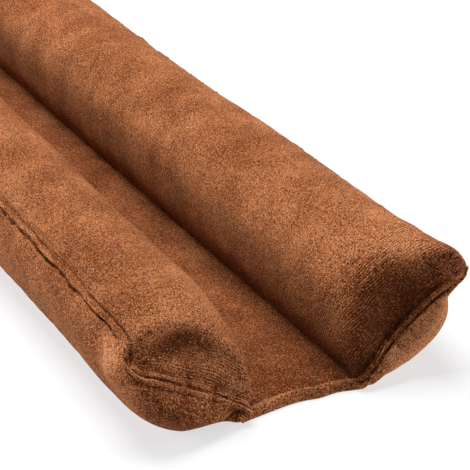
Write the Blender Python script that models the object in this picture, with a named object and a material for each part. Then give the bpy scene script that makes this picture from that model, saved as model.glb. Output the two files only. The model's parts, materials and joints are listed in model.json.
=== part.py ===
"""Door draught excluder: two stuffed plush rolls joined by a flat web.

The web lies on the floor under a door, so that one roll stands on each side of it.
A top panel and an underside panel are sewn together all round. Two more rows of
stitching run along the length and part the two rolls from the flat web.
Metres, +Z up, +Y along the rolls. The origin is at the middle of the underside.
"""

from collections import namedtuple
import math

import bmesh
import bpy
import numpy as np

# Driving dimensions
LENGTH = 0.900            # between the planes that the two ends are drawn from
WEB_WIDTH = 0.049         # between the two rows of stitching
WEB_THICK = 0.0032        # two layers of plush, pressed flat
GAP = 0.0003              # between the web and each roll
SEAM_ANGLE = 33.0         # the long seam, in degrees above the level of the roll's axis
SEAM_DEPTH = 0.0014       # how far the long seam draws in
SEAM_HALF_ANGLE = 5.0     # half the width of the trough along the long seam, in degrees

# Fineness of the solids
PANEL_STEPS = 17          # steps across each panel of a roll
ROW_STEPS = 2             # rows of points for each row of an end's table
WEB_STEPS = 12            # steps across the web
CURVE_STEPS = 24          # steps in each span of a smooth curve that is then read evenly
TOP_ARC_POINTS = 12       # points on the round part of the top panel's section
UNDER_ARC_POINTS = 4      # points on the round part of the underside panel's section
MERGE_DISTANCE = 0.000001
SHARP_ANGLE = 50.0        # degrees

Roll = namedtuple("Roll", "name side radius out")
Girth = namedtuple("Girth", "along size")
Foot = namedtuple("Foot", "out up")
Seam = namedtuple("Seam", "share out behind up")
Row = namedtuple("Row", "fullness outer top_inner top_middle under_inner under_middle")
Fold = namedtuple("Fold", "out behind up reach_out reach_behind reach_up push_out push_behind push_up")
Rim = namedtuple("Rim", "across back")
RimStep = namedtuple("RimStep", "inward height")

# side is -1 for the roll at -X and 1 for the roll at +X. out is the distance of the
# roll's axis from its row of stitching.
ROLLS = (
    Roll("roll_left", -1, radius=0.0257, out=0.0217),
    Roll("roll_right", 1, radius=0.0269, out=0.0239),
)

# The stuffing is uneven, so the girth changes a little along each roll.
GIRTHS = {
    "roll_left": (
        Girth(0.04, 1.000), Girth(0.12, 1.000), Girth(0.24, 1.050), Girth(0.38, 1.020),
        Girth(0.52, 1.035), Girth(0.66, 1.005), Girth(0.78, 1.025), Girth(0.86, 1.000),
    ),
    "roll_right": (
        Girth(0.04, 1.000), Girth(0.14, 1.005), Girth(0.26, 0.990), Girth(0.40, 1.015),
        Girth(0.54, 0.995), Girth(0.68, 1.015), Girth(0.80, 0.995), Girth(0.86, 1.000),
    ),
}

# The inner wall of a roll runs down to its stitching past these points, and the
# underside leaves the round part here for the floor.
INNER_FOOT = (Foot(0.0, WEB_THICK), Foot(-0.0014, 0.0085), Foot(-0.0028, 0.0160))
UNDERSIDE = (
    Foot(0.0, 0.0), Foot(0.0130, 0.0), Foot(0.0250, 0.0), Foot(0.0300, 0.0009),
    Foot(0.0370, 0.0050), Foot(0.0430, 0.0120),
)

# End seams run from the stitching at the floor up to the outer corner. share runs
# along the seam, behind is the distance in from the end's plane.
LEFT_SEAM = (
    Seam(0.00, 0.0003, 0.0028, 0.0050), Seam(0.22, 0.0110, 0.0036, 0.0140),
    Seam(0.45, 0.0205, 0.0042, 0.0198), Seam(0.60, 0.0275, 0.0043, 0.0234),
    Seam(0.72, 0.0330, 0.0047, 0.0262), Seam(0.83, 0.0386, 0.0054, 0.0287),
    Seam(0.91, 0.0424, 0.0070, 0.0314), Seam(0.96, 0.0436, 0.0094, 0.0345),
    Seam(1.00, 0.0434, 0.0125, 0.0388),
)
RIGHT_SEAM = (
    Seam(0.00, 0.0003, 0.0040, 0.0036), Seam(0.20, 0.0080, 0.0044, 0.0100),
    Seam(0.45, 0.0206, 0.0066, 0.0199), Seam(0.70, 0.0330, 0.0040, 0.0306),
    Seam(0.84, 0.0390, 0.0014, 0.0351), Seam(0.93, 0.0422, 0.0005, 0.0387),
    Seam(1.00, 0.0444, 0.0004, 0.0420),
)

# From an end seam each panel swells to the full roll. fullness is the share of the
# swelling, and the other columns are how far behind the seam it is reached: at the
# outer corner, and for each panel near the stitching and in its middle.
LEFT_SWELL = (
    Row(0.000, 0.0000, 0.0000, 0.0000, 0.0000, 0.0000),
    Row(0.110, 0.0008, 0.0010, 0.0030, -0.0004, -0.0030),
    Row(0.290, 0.0020, 0.0016, 0.0064, -0.0006, -0.0058),
    Row(0.500, 0.0040, 0.0020, 0.0098, -0.0002, -0.0070),
    Row(0.600, 0.0052, 0.0024, 0.0100, 0.0006, -0.0064),
    Row(0.670, 0.0062, 0.0030, 0.0106, 0.0014, -0.0052),
    Row(0.740, 0.0076, 0.0042, 0.0130, 0.0024, -0.0034),
    Row(0.830, 0.0100, 0.0062, 0.0180, 0.0042, -0.0006),
    Row(0.910, 0.0138, 0.0098, 0.0252, 0.0074, 0.0036),
    Row(0.960, 0.0188, 0.0146, 0.0324, 0.0116, 0.0086),
    Row(0.990, 0.0256, 0.0214, 0.0392, 0.0180, 0.0160),
    Row(1.000, 0.0350, 0.0310, 0.0450, 0.0290, 0.0290),
)
RIGHT_SWELL = (
    Row(0.000, 0.0000, 0.0000, 0.0000, 0.0000, 0.0000),
    Row(0.110, 0.0003, 0.0012, 0.0026, 0.0000, -0.0022),
    Row(0.290, 0.0008, 0.0024, 0.0044, 0.0006, -0.0034),
    Row(0.500, 0.0018, 0.0040, 0.0050, 0.0020, -0.0026),
    Row(0.680, 0.0032, 0.0058, 0.0058, 0.0044, 0.0000),
    Row(0.780, 0.0046, 0.0078, 0.0074, 0.0066, 0.0026),
    Row(0.850, 0.0064, 0.0104, 0.0102, 0.0088, 0.0052),
    Row(0.910, 0.0090, 0.0138, 0.0142, 0.0118, 0.0090),
    Row(0.960, 0.0134, 0.0188, 0.0198, 0.0162, 0.0138),
    Row(0.990, 0.0200, 0.0256, 0.0268, 0.0226, 0.0210),
    Row(1.000, 0.0310, 0.0360, 0.0370, 0.0330, 0.0340),
)

# Soft folds and dents near the ends, each a push that fades over its reaches.
LEFT_FOLDS = (
    Fold(0.0480, 0.0150, 0.0280, 0.012, 0.0095, 0.0080, 0.0030, 0.0, 0.0),
    Fold(0.0460, 0.0340, 0.0300, 0.012, 0.0055, 0.0110, -0.0016, 0.0, 0.0),
    Fold(0.0460, 0.0170, 0.0400, 0.008, 0.0070, 0.0060, -0.0014, 0.0, -0.0012),
    Fold(0.0000, 0.0050, 0.0120, 0.008, 0.0090, 0.0090, -0.0046, 0.0, 0.0),
    Fold(-0.0010, 0.0160, 0.0230, 0.009, 0.0105, 0.0095, -0.0030, 0.0, 0.0),
)
RIGHT_FOLDS = (
    Fold(0.0330, 0.0080, 0.0440, 0.006, 0.0090, 0.0080, -0.0010, 0.0006, -0.0018),
    Fold(0.0420, 0.0050, 0.0490, 0.009, 0.0120, 0.0080, 0.0018, -0.0004, 0.0042),
    Fold(0.0370, 0.0280, 0.0500, 0.010, 0.0120, 0.0100, 0.0006, 0.0, 0.0013),
    Fold(0.0480, 0.0030, 0.0310, 0.009, 0.0120, 0.0060, -0.0030, 0.0050, 0.0),
    Fold(0.0480, 0.0120, 0.0250, 0.014, 0.0160, 0.0090, -0.0038, 0.0, 0.0),
    Fold(0.0080, 0.0060, 0.0040, 0.010, 0.0080, 0.0060, 0.0, -0.0024, 0.0),
)
BACK_FOLDS = (
    Fold(0.0300, 0.0160, 0.0440, 0.008, 0.0080, 0.0090, 0.0, 0.0, -0.0012),
    Fold(0.0440, 0.0240, 0.0260, 0.010, 0.0060, 0.0100, 0.0012, 0.0, 0.0),
)

End = namedtuple("End", "seam swell folds")
ENDS = {
    ("roll_left", "front"): End(LEFT_SEAM, LEFT_SWELL, LEFT_FOLDS),
    ("roll_right", "front"): End(RIGHT_SEAM, RIGHT_SWELL, RIGHT_FOLDS),
    ("roll_left", "back"): End(LEFT_SEAM, RIGHT_SWELL, BACK_FOLDS),
    ("roll_right", "back"): End(RIGHT_SEAM, LEFT_SWELL, BACK_FOLDS),
}

# How a panel's middle values hold over its width: a higher power narrows them, and a
# lean above 1 moves them out from the stitching.
Middle = namedtuple("Middle", "power lean")
MIDDLES = {"top": Middle(1.8, 1.25), "under": Middle(1.2, 1.0)}
BODY_STATIONS = (
    0.060, 0.095, 0.150, 0.215, 0.285, 0.365, 0.450, 0.535, 0.615, 0.685, 0.750, 0.805, 0.845,
)

# The sewn ends of the web, which wave a little. across runs from -1 at the left roll
# to 1 at the right one, and back is the distance in from the end's plane.
FRONT_RIM = (
    Rim(-1.0, 0.0042), Rim(-0.85, 0.0044), Rim(-0.6, 0.0052), Rim(-0.2, 0.0066),
    Rim(0.06, 0.0066), Rim(0.3, 0.0056), Rim(0.6, 0.0062), Rim(0.85, 0.0058), Rim(1.0, 0.0062),
)
BACK_RIM = (
    Rim(-1.0, 0.0042), Rim(-0.5, 0.0028), Rim(0.0, 0.0036), Rim(0.5, 0.0026),
    Rim(1.0, 0.0042),
)

# A sewn end of the web in section: a rounded rim, a little thicker than the web. It
# thins to the web's own thickness towards the rolls.
RIM_SECTION = (
    RimStep(0.0000, 0.0010), RimStep(0.0003, 0.0026), RimStep(0.0010, 0.0040),
    RimStep(0.0020, 0.0045), RimStep(0.0030, 0.0040), RimStep(0.0038, 0.0028),
    RimStep(0.0048, 0.0020), RimStep(0.0064, 0.0021), RimStep(0.0090, 0.0027),
    RimStep(0.0140, 0.0030), RimStep(0.0200, WEB_THICK),
)
RIM_FADE_POWER = 6        # how late across the web its rim thins towards the rolls

PLUSH_COLOUR = (0.270, 0.098, 0.042, 1.0)
PLUSH_ROUGHNESS = 0.85


def through(points, steps):
    """Return a smooth curve through the given points, with steps points in each span."""
    points = np.array(points, dtype=float)
    first = 2.0 * points[0] - points[1]
    last = 2.0 * points[-1] - points[-2]
    held = np.vstack([first, points, last])
    t = np.linspace(0.0, 1.0, steps, endpoint=False)[:, None]
    spans = []
    for a, b, c, d in zip(held, held[1:], held[2:], held[3:]):
        bend = 2.0 * a - 5.0 * b + 4.0 * c - d
        twist = 3.0 * b - a - 3.0 * c + d
        spans.append(b + 0.5 * ((c - a) * t + bend * t**2 + twist * t**3))
    return np.vstack(spans + [points[-1:]])


def smooth_curve(points, count):
    """Return count points, evenly spaced, on a smooth curve through the given ones."""
    fine = through(points, CURVE_STEPS)
    steps = np.linalg.norm(np.diff(fine, axis=0), axis=1)
    run = np.concatenate([[0.0], np.cumsum(steps)])
    wanted = np.linspace(0.0, run[-1], count)
    return np.stack([np.interp(wanted, run, column) for column in fine.T], axis=1)


def smooth_values(rows, wanted):
    """Read a table smoothly: its first column is looked up, the others are returned."""
    fine = through(rows, CURVE_STEPS)
    order = np.maximum.accumulate(fine[:, 0])
    return np.stack([np.interp(wanted, order, column) for column in fine[:, 1:].T], axis=1)


def arc(roll, start, end, steps, depth=0.0):
    """Points (out, up) on the roll's circle between two angles in degrees."""
    angles = np.radians(np.linspace(start, end, steps))
    radius = roll.radius - depth
    return np.column_stack([
        roll.out + radius * np.cos(angles),
        roll.radius + radius * np.sin(angles),
    ])


def sections(roll):
    """The full roll's two panels, each from the stitching to the long seam."""
    seam = arc(roll, SEAM_ANGLE, SEAM_ANGLE, 1, SEAM_DEPTH)
    over = arc(roll, 180.0, SEAM_ANGLE + SEAM_HALF_ANGLE, TOP_ARC_POINTS)
    below = arc(roll, 0.0, SEAM_ANGLE - SEAM_HALF_ANGLE, UNDER_ARC_POINTS)
    top = np.vstack([INNER_FOOT, over, seam])
    under = np.vstack([UNDERSIDE, below, seam])
    return smooth_curve(top, PANEL_STEPS + 1), smooth_curve(under, PANEL_STEPS + 1)


def on_chord(section):
    """Each point's foot on the straight line from the stitching to the long seam."""
    start = section[0]
    line = section[-1] - start
    reach = np.linalg.norm(line)
    line = line / reach
    along = np.clip((section - start) @ line, 0.0, reach)
    return start + along[:, None] * line


def end_rows(end, panel, section):
    """Rows of points (out, behind, up) from the end seam to the full roll."""
    share = np.linspace(0.0, 1.0, len(section))
    seam = smooth_values(end.seam, share)
    chord = on_chord(section)
    middle = np.sin(math.pi * share ** MIDDLES[panel].lean) ** MIDDLES[panel].power
    inner = (1.0 - middle) * (1.0 - share)
    outer = (1.0 - middle) * share
    rows = []
    for values in through(end.swell, ROW_STEPS):
        row = Row(*values)
        flat = (1.0 - row.fullness) * seam[:, [0, 2]] + row.fullness * chord
        place = flat + row.fullness * (section - chord)
        near_stitching = getattr(row, panel + "_inner")
        in_middle = getattr(row, panel + "_middle")
        behind = seam[:, 1] + inner * near_stitching + middle * in_middle + outer * row.outer
        rows.append(np.column_stack([place[:, 0], behind, place[:, 1]]))
    return pushed(np.array(rows), end.folds)


def pushed(points, folds):
    """Push points (out, behind, up) by the folds, all but those at the stitching."""
    moved = points.copy()
    for fold in folds:
        place = np.array([fold.out, fold.behind, fold.up])
        reaches = np.array([fold.reach_out, fold.reach_behind, fold.reach_up])
        push = np.array([fold.push_out, fold.push_behind, fold.push_up])
        fade = np.exp(-(((points - place) / reaches) ** 2).sum(axis=-1))
        moved += fade[..., None] * push
    moved[:, 0] = points[:, 0]
    return moved


def panel_grid(roll, panel, section):
    """One panel of a roll, from its front seam to its back seam."""
    front = end_rows(ENDS[roll.name, "front"], panel, section)
    back = end_rows(ENDS[roll.name, "back"], panel, section)
    back[..., 1] = LENGTH - back[..., 1]
    sizes = smooth_values(GIRTHS[roll.name], np.array(BODY_STATIONS))[:, 0]
    body = []
    for along, size in zip(BODY_STATIONS, sizes):
        body.append(np.column_stack([
            section[:, 0] * size,
            np.full(len(section), along),
            section[:, 1] * size,
        ]))
    grid = np.concatenate([front, np.array(body), back[::-1]])
    grid[..., 2] = np.maximum(grid[..., 2], 0.0)
    return grid


def placed(grid, side):
    """Turn points (out, behind, up) of one side into points with the web in the middle."""
    x = side * (WEB_WIDTH / 2.0 + GAP + grid[..., 0])
    y = grid[..., 1] - LENGTH / 2.0
    return np.stack([x, y, grid[..., 2]], axis=-1)


def add_grid(mesh, grid):
    """Add a grid of points to a bmesh as a sheet of faces."""
    verts = [[mesh.verts.new(point) for point in row] for row in grid]
    for row, following in zip(verts, verts[1:]):
        for a, b, c, d in zip(row, row[1:], following[1:], following):
            mesh.faces.new((a, b, c, d))


def new_object(name, mesh, material):
    """Close a bmesh where its sheets meet, and put it in the scene."""
    bmesh.ops.remove_doubles(mesh, verts=mesh.verts, dist=MERGE_DISTANCE)
    bmesh.ops.triangulate(mesh, faces=mesh.faces)
    bmesh.ops.recalc_face_normals(mesh, faces=mesh.faces)
    data = bpy.data.meshes.new(name)
    mesh.to_mesh(data)
    mesh.free()
    data.materials.append(material)
    data.shade_smooth()
    data.set_sharp_from_angle(angle=math.radians(SHARP_ANGLE))
    piece = bpy.data.objects.new(name, data)
    bpy.context.scene.collection.objects.link(piece)
    return piece


def plush(name):
    """A plain plush material for one piece."""
    material = bpy.data.materials.new(name + "_plush")
    material.use_nodes = True
    shader = material.node_tree.nodes["Principled BSDF"]
    shader.inputs["Base Color"].default_value = PLUSH_COLOUR
    shader.inputs["Roughness"].default_value = PLUSH_ROUGHNESS
    shader.inputs["Metallic"].default_value = 0.0
    return material


def make_roll(roll):
    """One stuffed roll: two panels that meet at the seams, and the stitched edge."""
    top, under = sections(roll)
    top_grid = placed(panel_grid(roll, "top", top), roll.side)
    under_grid = placed(panel_grid(roll, "under", under), roll.side)
    stitched = np.stack([under_grid[:, 0], top_grid[:, 0]], axis=1)
    mesh = bmesh.new()
    for grid in (top_grid, under_grid, stitched):
        add_grid(mesh, grid)
    return new_object(roll.name, mesh, plush(roll.name))


def web_line(across, y, height):
    """One line of points across the web's upper face."""
    proud = max(height - WEB_THICK, 0.0) * (1.0 - across**RIM_FADE_POWER)
    up = min(height, WEB_THICK) + proud
    return np.column_stack([across * WEB_WIDTH / 2.0, y - LENGTH / 2.0, up])


def make_web():
    """The flat web between the rolls, with its rounded sewn ends."""
    across = np.linspace(-1.0, 1.0, WEB_STEPS + 1)
    front = smooth_values(FRONT_RIM, across)[:, 0]
    back = LENGTH - smooth_values(BACK_RIM, across)[:, 0]
    lines = []
    for step in RIM_SECTION:
        lines.append(web_line(across, front + step.inward, step.height))
    for along in BODY_STATIONS:
        lines.append(web_line(across, np.full(len(across), along), WEB_THICK))
    for step in reversed(RIM_SECTION):
        lines.append(web_line(across, back - step.inward, step.height))
    top = np.array(lines)
    under = top.copy()
    under[..., 2] = 0.0
    mesh = bmesh.new()
    add_grid(mesh, top)
    add_grid(mesh, under)
    add_grid(mesh, np.stack([under[0], top[0]]))
    add_grid(mesh, np.stack([under[-1], top[-1]]))
    add_grid(mesh, np.stack([under[:, 0], top[:, 0]], axis=1))
    add_grid(mesh, np.stack([under[:, -1], top[:, -1]], axis=1))
    return new_object("web", mesh, plush("web"))


def clear_scene():
    """Remove what the scene already holds."""
    for old in list(bpy.data.objects):
        bpy.data.objects.remove(old, do_unlink=True)


def centre_part(pieces):
    """Place the pieces so that the origin is at the middle of the part's underside."""
    points = np.array([vertex.co for piece in pieces for vertex in piece.data.vertices])
    middle = (points.min(axis=0) + points.max(axis=0)) / 2.0
    for piece in pieces:
        piece.location = (-middle[0], -middle[1], 0.0)


clear_scene()
parts = [make_roll(roll) for roll in ROLLS]
parts.append(make_web())
centre_part(parts)
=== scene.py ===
"""Looks of a door draught excluder: two stuffed plush rolls joined by a flat web.

The rolls and the web are drawn as the solids are, from the same sizes and tables,
and then get their creases, gathers, seams and pile.
"""

from collections import namedtuple
import json
import math

import bpy
import numpy as np
from mathutils import Euler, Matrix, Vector, noise

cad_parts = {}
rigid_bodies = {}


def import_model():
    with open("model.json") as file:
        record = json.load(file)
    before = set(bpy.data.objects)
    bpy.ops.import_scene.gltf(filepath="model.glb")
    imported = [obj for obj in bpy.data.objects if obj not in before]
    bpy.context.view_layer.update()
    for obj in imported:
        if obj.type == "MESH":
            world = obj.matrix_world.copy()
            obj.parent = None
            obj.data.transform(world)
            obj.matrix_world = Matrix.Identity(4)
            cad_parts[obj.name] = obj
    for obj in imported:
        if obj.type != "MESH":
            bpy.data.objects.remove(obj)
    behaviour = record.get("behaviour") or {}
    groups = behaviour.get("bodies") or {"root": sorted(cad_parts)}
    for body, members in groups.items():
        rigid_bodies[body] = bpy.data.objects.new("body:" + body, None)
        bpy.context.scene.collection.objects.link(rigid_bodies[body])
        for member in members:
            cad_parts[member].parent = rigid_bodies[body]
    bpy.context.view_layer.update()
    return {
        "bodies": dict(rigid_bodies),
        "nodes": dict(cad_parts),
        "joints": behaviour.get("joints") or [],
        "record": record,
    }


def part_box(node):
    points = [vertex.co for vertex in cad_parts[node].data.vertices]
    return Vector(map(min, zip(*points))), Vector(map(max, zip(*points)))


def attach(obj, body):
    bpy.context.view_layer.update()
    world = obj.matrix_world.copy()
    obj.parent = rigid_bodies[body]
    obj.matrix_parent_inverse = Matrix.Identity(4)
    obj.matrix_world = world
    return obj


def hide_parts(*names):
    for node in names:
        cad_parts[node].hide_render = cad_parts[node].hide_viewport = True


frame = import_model()

# Driving dimensions, as in the solids
LENGTH = 0.900            # between the planes that the two ends are drawn from
WEB_WIDTH = 0.049         # between the two rows of stitching
WEB_THICK = 0.0032
GAP = 0.0003              # between the web and each roll
WEB_BACK = 0.0042         # from the front plane back to the web
SEAM_ANGLE = 33.0         # the long seam, in degrees above the level of the roll's axis
SEAM_DEPTH = 0.0010       # the wide trough along the long seam
SEAM_HALF_ANGLE = 6.0

Roll = namedtuple("Roll", "name side radius out")
Girth = namedtuple("Girth", "along size")
Foot = namedtuple("Foot", "out up")
Seam = namedtuple("Seam", "share out behind up")
Row = namedtuple("Row", "fullness outer top_inner top_middle under_inner under_middle")
Fold = namedtuple("Fold", "out behind up reach_out reach_behind reach_up push_out push_behind push_up")
Rim = namedtuple("Rim", "across back")
RimStep = namedtuple("RimStep", "inward height")

ROLLS = (
    Roll("roll_left", -1, radius=0.0257, out=0.0217),
    Roll("roll_right", 1, radius=0.0269, out=0.0239),
)
GIRTHS = {
    "roll_left": (
        Girth(0.04, 1.000), Girth(0.12, 1.000), Girth(0.24, 1.050), Girth(0.38, 1.020),
        Girth(0.52, 1.035), Girth(0.66, 1.005), Girth(0.78, 1.025), Girth(0.86, 1.000),
    ),
    "roll_right": (
        Girth(0.04, 1.000), Girth(0.14, 1.005), Girth(0.26, 0.990), Girth(0.40, 1.015),
        Girth(0.54, 0.995), Girth(0.68, 1.015), Girth(0.80, 0.995), Girth(0.86, 1.000),
    ),
}
INNER_FOOT = (Foot(0.0, WEB_THICK), Foot(-0.0014, 0.0085), Foot(-0.0028, 0.0160))
UNDERSIDE = (
    Foot(0.0, 0.0), Foot(0.0130, 0.0), Foot(0.0250, 0.0), Foot(0.0300, 0.0009),
    Foot(0.0370, 0.0050), Foot(0.0430, 0.0120),
)
LEFT_SEAM = (
    Seam(0.00, 0.0003, 0.0028, 0.0050), Seam(0.22, 0.0110, 0.0036, 0.0140),
    Seam(0.45, 0.0205, 0.0042, 0.0198), Seam(0.60, 0.0275, 0.0043, 0.0234),
    Seam(0.72, 0.0330, 0.0047, 0.0262), Seam(0.83, 0.0386, 0.0054, 0.0287),
    Seam(0.91, 0.0424, 0.0070, 0.0314), Seam(0.96, 0.0436, 0.0094, 0.0345),
    Seam(1.00, 0.0434, 0.0125, 0.0388),
)
RIGHT_SEAM = (
    Seam(0.00, 0.0003, 0.0040, 0.0036), Seam(0.20, 0.0080, 0.0044, 0.0100),
    Seam(0.45, 0.0206, 0.0066, 0.0199), Seam(0.70, 0.0330, 0.0040, 0.0306),
    Seam(0.84, 0.0390, 0.0014, 0.0351), Seam(0.93, 0.0422, 0.0005, 0.0387),
    Seam(1.00, 0.0444, 0.0004, 0.0420),
)
LEFT_SWELL = (
    Row(0.000, 0.0000, 0.0000, 0.0000, 0.0000, 0.0000),
    Row(0.110, 0.0008, 0.0010, 0.0030, -0.0004, -0.0030),
    Row(0.290, 0.0020, 0.0016, 0.0064, -0.0006, -0.0058),
    Row(0.500, 0.0040, 0.0020, 0.0098, -0.0002, -0.0070),
    Row(0.600, 0.0052, 0.0024, 0.0100, 0.0006, -0.0064),
    Row(0.670, 0.0062, 0.0030, 0.0106, 0.0014, -0.0052),
    Row(0.740, 0.0076, 0.0042, 0.0130, 0.0024, -0.0034),
    Row(0.830, 0.0100, 0.0062, 0.0180, 0.0042, -0.0006),
    Row(0.910, 0.0138, 0.0098, 0.0252, 0.0074, 0.0036),
    Row(0.960, 0.0188, 0.0146, 0.0324, 0.0116, 0.0086),
    Row(0.990, 0.0256, 0.0214, 0.0392, 0.0180, 0.0160),
    Row(1.000, 0.0350, 0.0310, 0.0450, 0.0290, 0.0290),
    Row(1.000, 0.0440, 0.0450, 0.0505, 0.0440, 0.0440),
)
RIGHT_SWELL = (
    Row(0.000, 0.0000, 0.0000, 0.0000, 0.0000, 0.0000),
    Row(0.110, 0.0003, 0.0012, 0.0026, 0.0000, -0.0022),
    Row(0.290, 0.0008, 0.0024, 0.0044, 0.0006, -0.0034),
    Row(0.500, 0.0018, 0.0040, 0.0050, 0.0020, -0.0026),
    Row(0.680, 0.0032, 0.0058, 0.0058, 0.0044, 0.0000),
    Row(0.780, 0.0046, 0.0078, 0.0074, 0.0066, 0.0026),
    Row(0.850, 0.0064, 0.0104, 0.0102, 0.0088, 0.0052),
    Row(0.910, 0.0090, 0.0138, 0.0142, 0.0118, 0.0090),
    Row(0.960, 0.0134, 0.0188, 0.0198, 0.0162, 0.0138),
    Row(0.990, 0.0200, 0.0256, 0.0268, 0.0226, 0.0210),
    Row(1.000, 0.0310, 0.0360, 0.0370, 0.0330, 0.0340),
    Row(1.000, 0.0460, 0.0480, 0.0490, 0.0470, 0.0470),
)
LEFT_FOLDS = (
    Fold(0.0480, 0.0150, 0.0280, 0.012, 0.0095, 0.0080, 0.0030, 0.0, 0.0),
    Fold(0.0460, 0.0340, 0.0300, 0.012, 0.0055, 0.0110, -0.0016, 0.0, 0.0),
    Fold(0.0460, 0.0170, 0.0400, 0.008, 0.0070, 0.0060, -0.0014, 0.0, -0.0012),
    Fold(0.0000, 0.0050, 0.0120, 0.008, 0.0090, 0.0090, -0.0046, 0.0, 0.0),
    Fold(-0.0010, 0.0160, 0.0230, 0.009, 0.0105, 0.0095, -0.0030, 0.0, 0.0),
)
RIGHT_FOLDS = (
    Fold(0.0330, 0.0080, 0.0440, 0.006, 0.0090, 0.0080, -0.0010, 0.0006, -0.0018),
    Fold(0.0420, 0.0050, 0.0490, 0.009, 0.0120, 0.0080, 0.0018, -0.0004, 0.0042),
    Fold(0.0370, 0.0280, 0.0500, 0.010, 0.0120, 0.0100, 0.0006, 0.0, 0.0013),
    Fold(0.0480, 0.0030, 0.0310, 0.009, 0.0120, 0.0060, -0.0030, 0.0050, 0.0),
    Fold(0.0480, 0.0120, 0.0250, 0.014, 0.0160, 0.0090, -0.0038, 0.0, 0.0),
    Fold(0.0080, 0.0060, 0.0040, 0.010, 0.0080, 0.0060, 0.0, -0.0024, 0.0),
)
BACK_FOLDS = (
    Fold(0.0300, 0.0160, 0.0440, 0.008, 0.0080, 0.0090, 0.0, 0.0, -0.0012),
    Fold(0.0440, 0.0240, 0.0260, 0.010, 0.0060, 0.0100, 0.0012, 0.0, 0.0),
)
# How far the middle of a panel is set off from its sides, and how much it leans outwards
Middle = namedtuple("Middle", "power lean")
MIDDLES = {"top": Middle(1.8, 1.25), "under": Middle(1.2, 1.0)}
FRONT_RIM = (
    Rim(-1.0, 0.0034), Rim(-0.85, 0.0042), Rim(-0.6, 0.0052), Rim(-0.2, 0.0066),
    Rim(0.06, 0.0066), Rim(0.3, 0.0056), Rim(0.6, 0.0060), Rim(0.85, 0.0046), Rim(1.0, 0.0036),
)
BACK_RIM = (
    Rim(-1.0, 0.0042), Rim(-0.5, 0.0028), Rim(0.0, 0.0036), Rim(0.5, 0.0026),
    Rim(1.0, 0.0042),
)
RIM_SECTION = (
    RimStep(0.0000, 0.0010), RimStep(0.0003, 0.0026), RimStep(0.0010, 0.0040),
    RimStep(0.0020, 0.0045), RimStep(0.0030, 0.0040), RimStep(0.0038, 0.0028),
    RimStep(0.0048, 0.0020), RimStep(0.0064, 0.0021), RimStep(0.0090, 0.0027),
    RimStep(0.0140, 0.0030), RimStep(0.0200, WEB_THICK),
)
RIM_FADE_POWER = 6

End = namedtuple("End", "seam swell folds")
ENDS = {
    ("roll_left", "front"): End(LEFT_SEAM, LEFT_SWELL, LEFT_FOLDS),
    ("roll_right", "front"): End(RIGHT_SEAM, RIGHT_SWELL, RIGHT_FOLDS),
    ("roll_left", "back"): End(LEFT_SEAM, RIGHT_SWELL, BACK_FOLDS),
    ("roll_right", "back"): End(RIGHT_SEAM, LEFT_SWELL, BACK_FOLDS),
}

# Where the planes and the middle of the web lie in the frame
web_low, web_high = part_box("web")
WEB_X = (web_low.x + web_high.x) / 2.0
FRONT_Y = web_low.y - WEB_BACK

# Fineness of the meshes
CURVE_STEPS = 24
TOP_ARC_POINTS = 12
UNDER_ARC_POINTS = 4
AROUND_FINE = 0.0004      # gaps between points beside the long seam
AROUND_COARSE = 0.0011
AROUND_REACH = 0.008
END_FINE = 0.0004         # gaps between rows of points beside an end seam
END_COARSE = 0.0009
END_REACH = 0.014
BACK_COARSENESS = 1.8     # the back ends, which don't show, have wider gaps
BODY_FINE = 0.0024        # gaps between rows of points along the part near the front end
BODY_COARSE = 0.0060
BODY_NEAR = 0.26
END_LENGTH = 0.056        # where a roll's ends give way to its body


def through(points, steps):
    """Return a smooth curve through the given points, with steps points in each span."""
    points = np.array(points, dtype=float)
    first = 2.0 * points[0] - points[1]
    last = 2.0 * points[-1] - points[-2]
    held = np.vstack([first, points, last])
    t = np.linspace(0.0, 1.0, steps, endpoint=False)[:, None]
    spans = []
    for a, b, c, d in zip(held, held[1:], held[2:], held[3:]):
        bend = 2.0 * a - 5.0 * b + 4.0 * c - d
        twist = 3.0 * b - a - 3.0 * c + d
        spans.append(b + 0.5 * ((c - a) * t + bend * t**2 + twist * t**3))
    return np.vstack(spans + [points[-1:]])


def run_along(points):
    """The distance along a line of points."""
    steps = np.linalg.norm(np.diff(points, axis=0), axis=1)
    return np.concatenate([[0.0], np.cumsum(steps)])


def read_curve(points, shares):
    """Points at the given shares of the length of a smooth curve through the given ones."""
    fine = through(points, CURVE_STEPS)
    run = run_along(fine)
    return np.stack([np.interp(shares * run[-1], run, column) for column in fine.T], axis=1)


def smooth_values(rows, wanted):
    """Read a table smoothly: its first column is looked up, the others are returned."""
    fine = through(rows, CURVE_STEPS)
    order = np.maximum.accumulate(fine[:, 0])
    return np.stack([np.interp(wanted, order, column) for column in fine[:, 1:].T], axis=1)


def spaced(length, gap):
    """Positions from 0 to length whose gaps follow the function gap."""
    fine = np.linspace(0.0, length, 4000)
    density = 1.0 / gap(fine)
    count = np.concatenate([[0.0], np.cumsum((density[1:] + density[:-1]) / 2.0 * np.diff(fine))])
    wanted = np.linspace(0.0, count[-1], int(round(count[-1])) + 1)
    return np.interp(wanted, count, fine)


def fade(distance, reach):
    """1 at no distance, falling smoothly to 0 past the reach."""
    return np.exp(-((distance / reach) ** 2))


def arc(roll, start, end, steps, depth=0.0):
    """Points (out, up) on the roll's circle between two angles in degrees."""
    angles = np.radians(np.linspace(start, end, steps))
    radius = roll.radius - depth
    return np.column_stack([
        roll.out + radius * np.cos(angles),
        roll.radius + radius * np.sin(angles),
    ])


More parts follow.
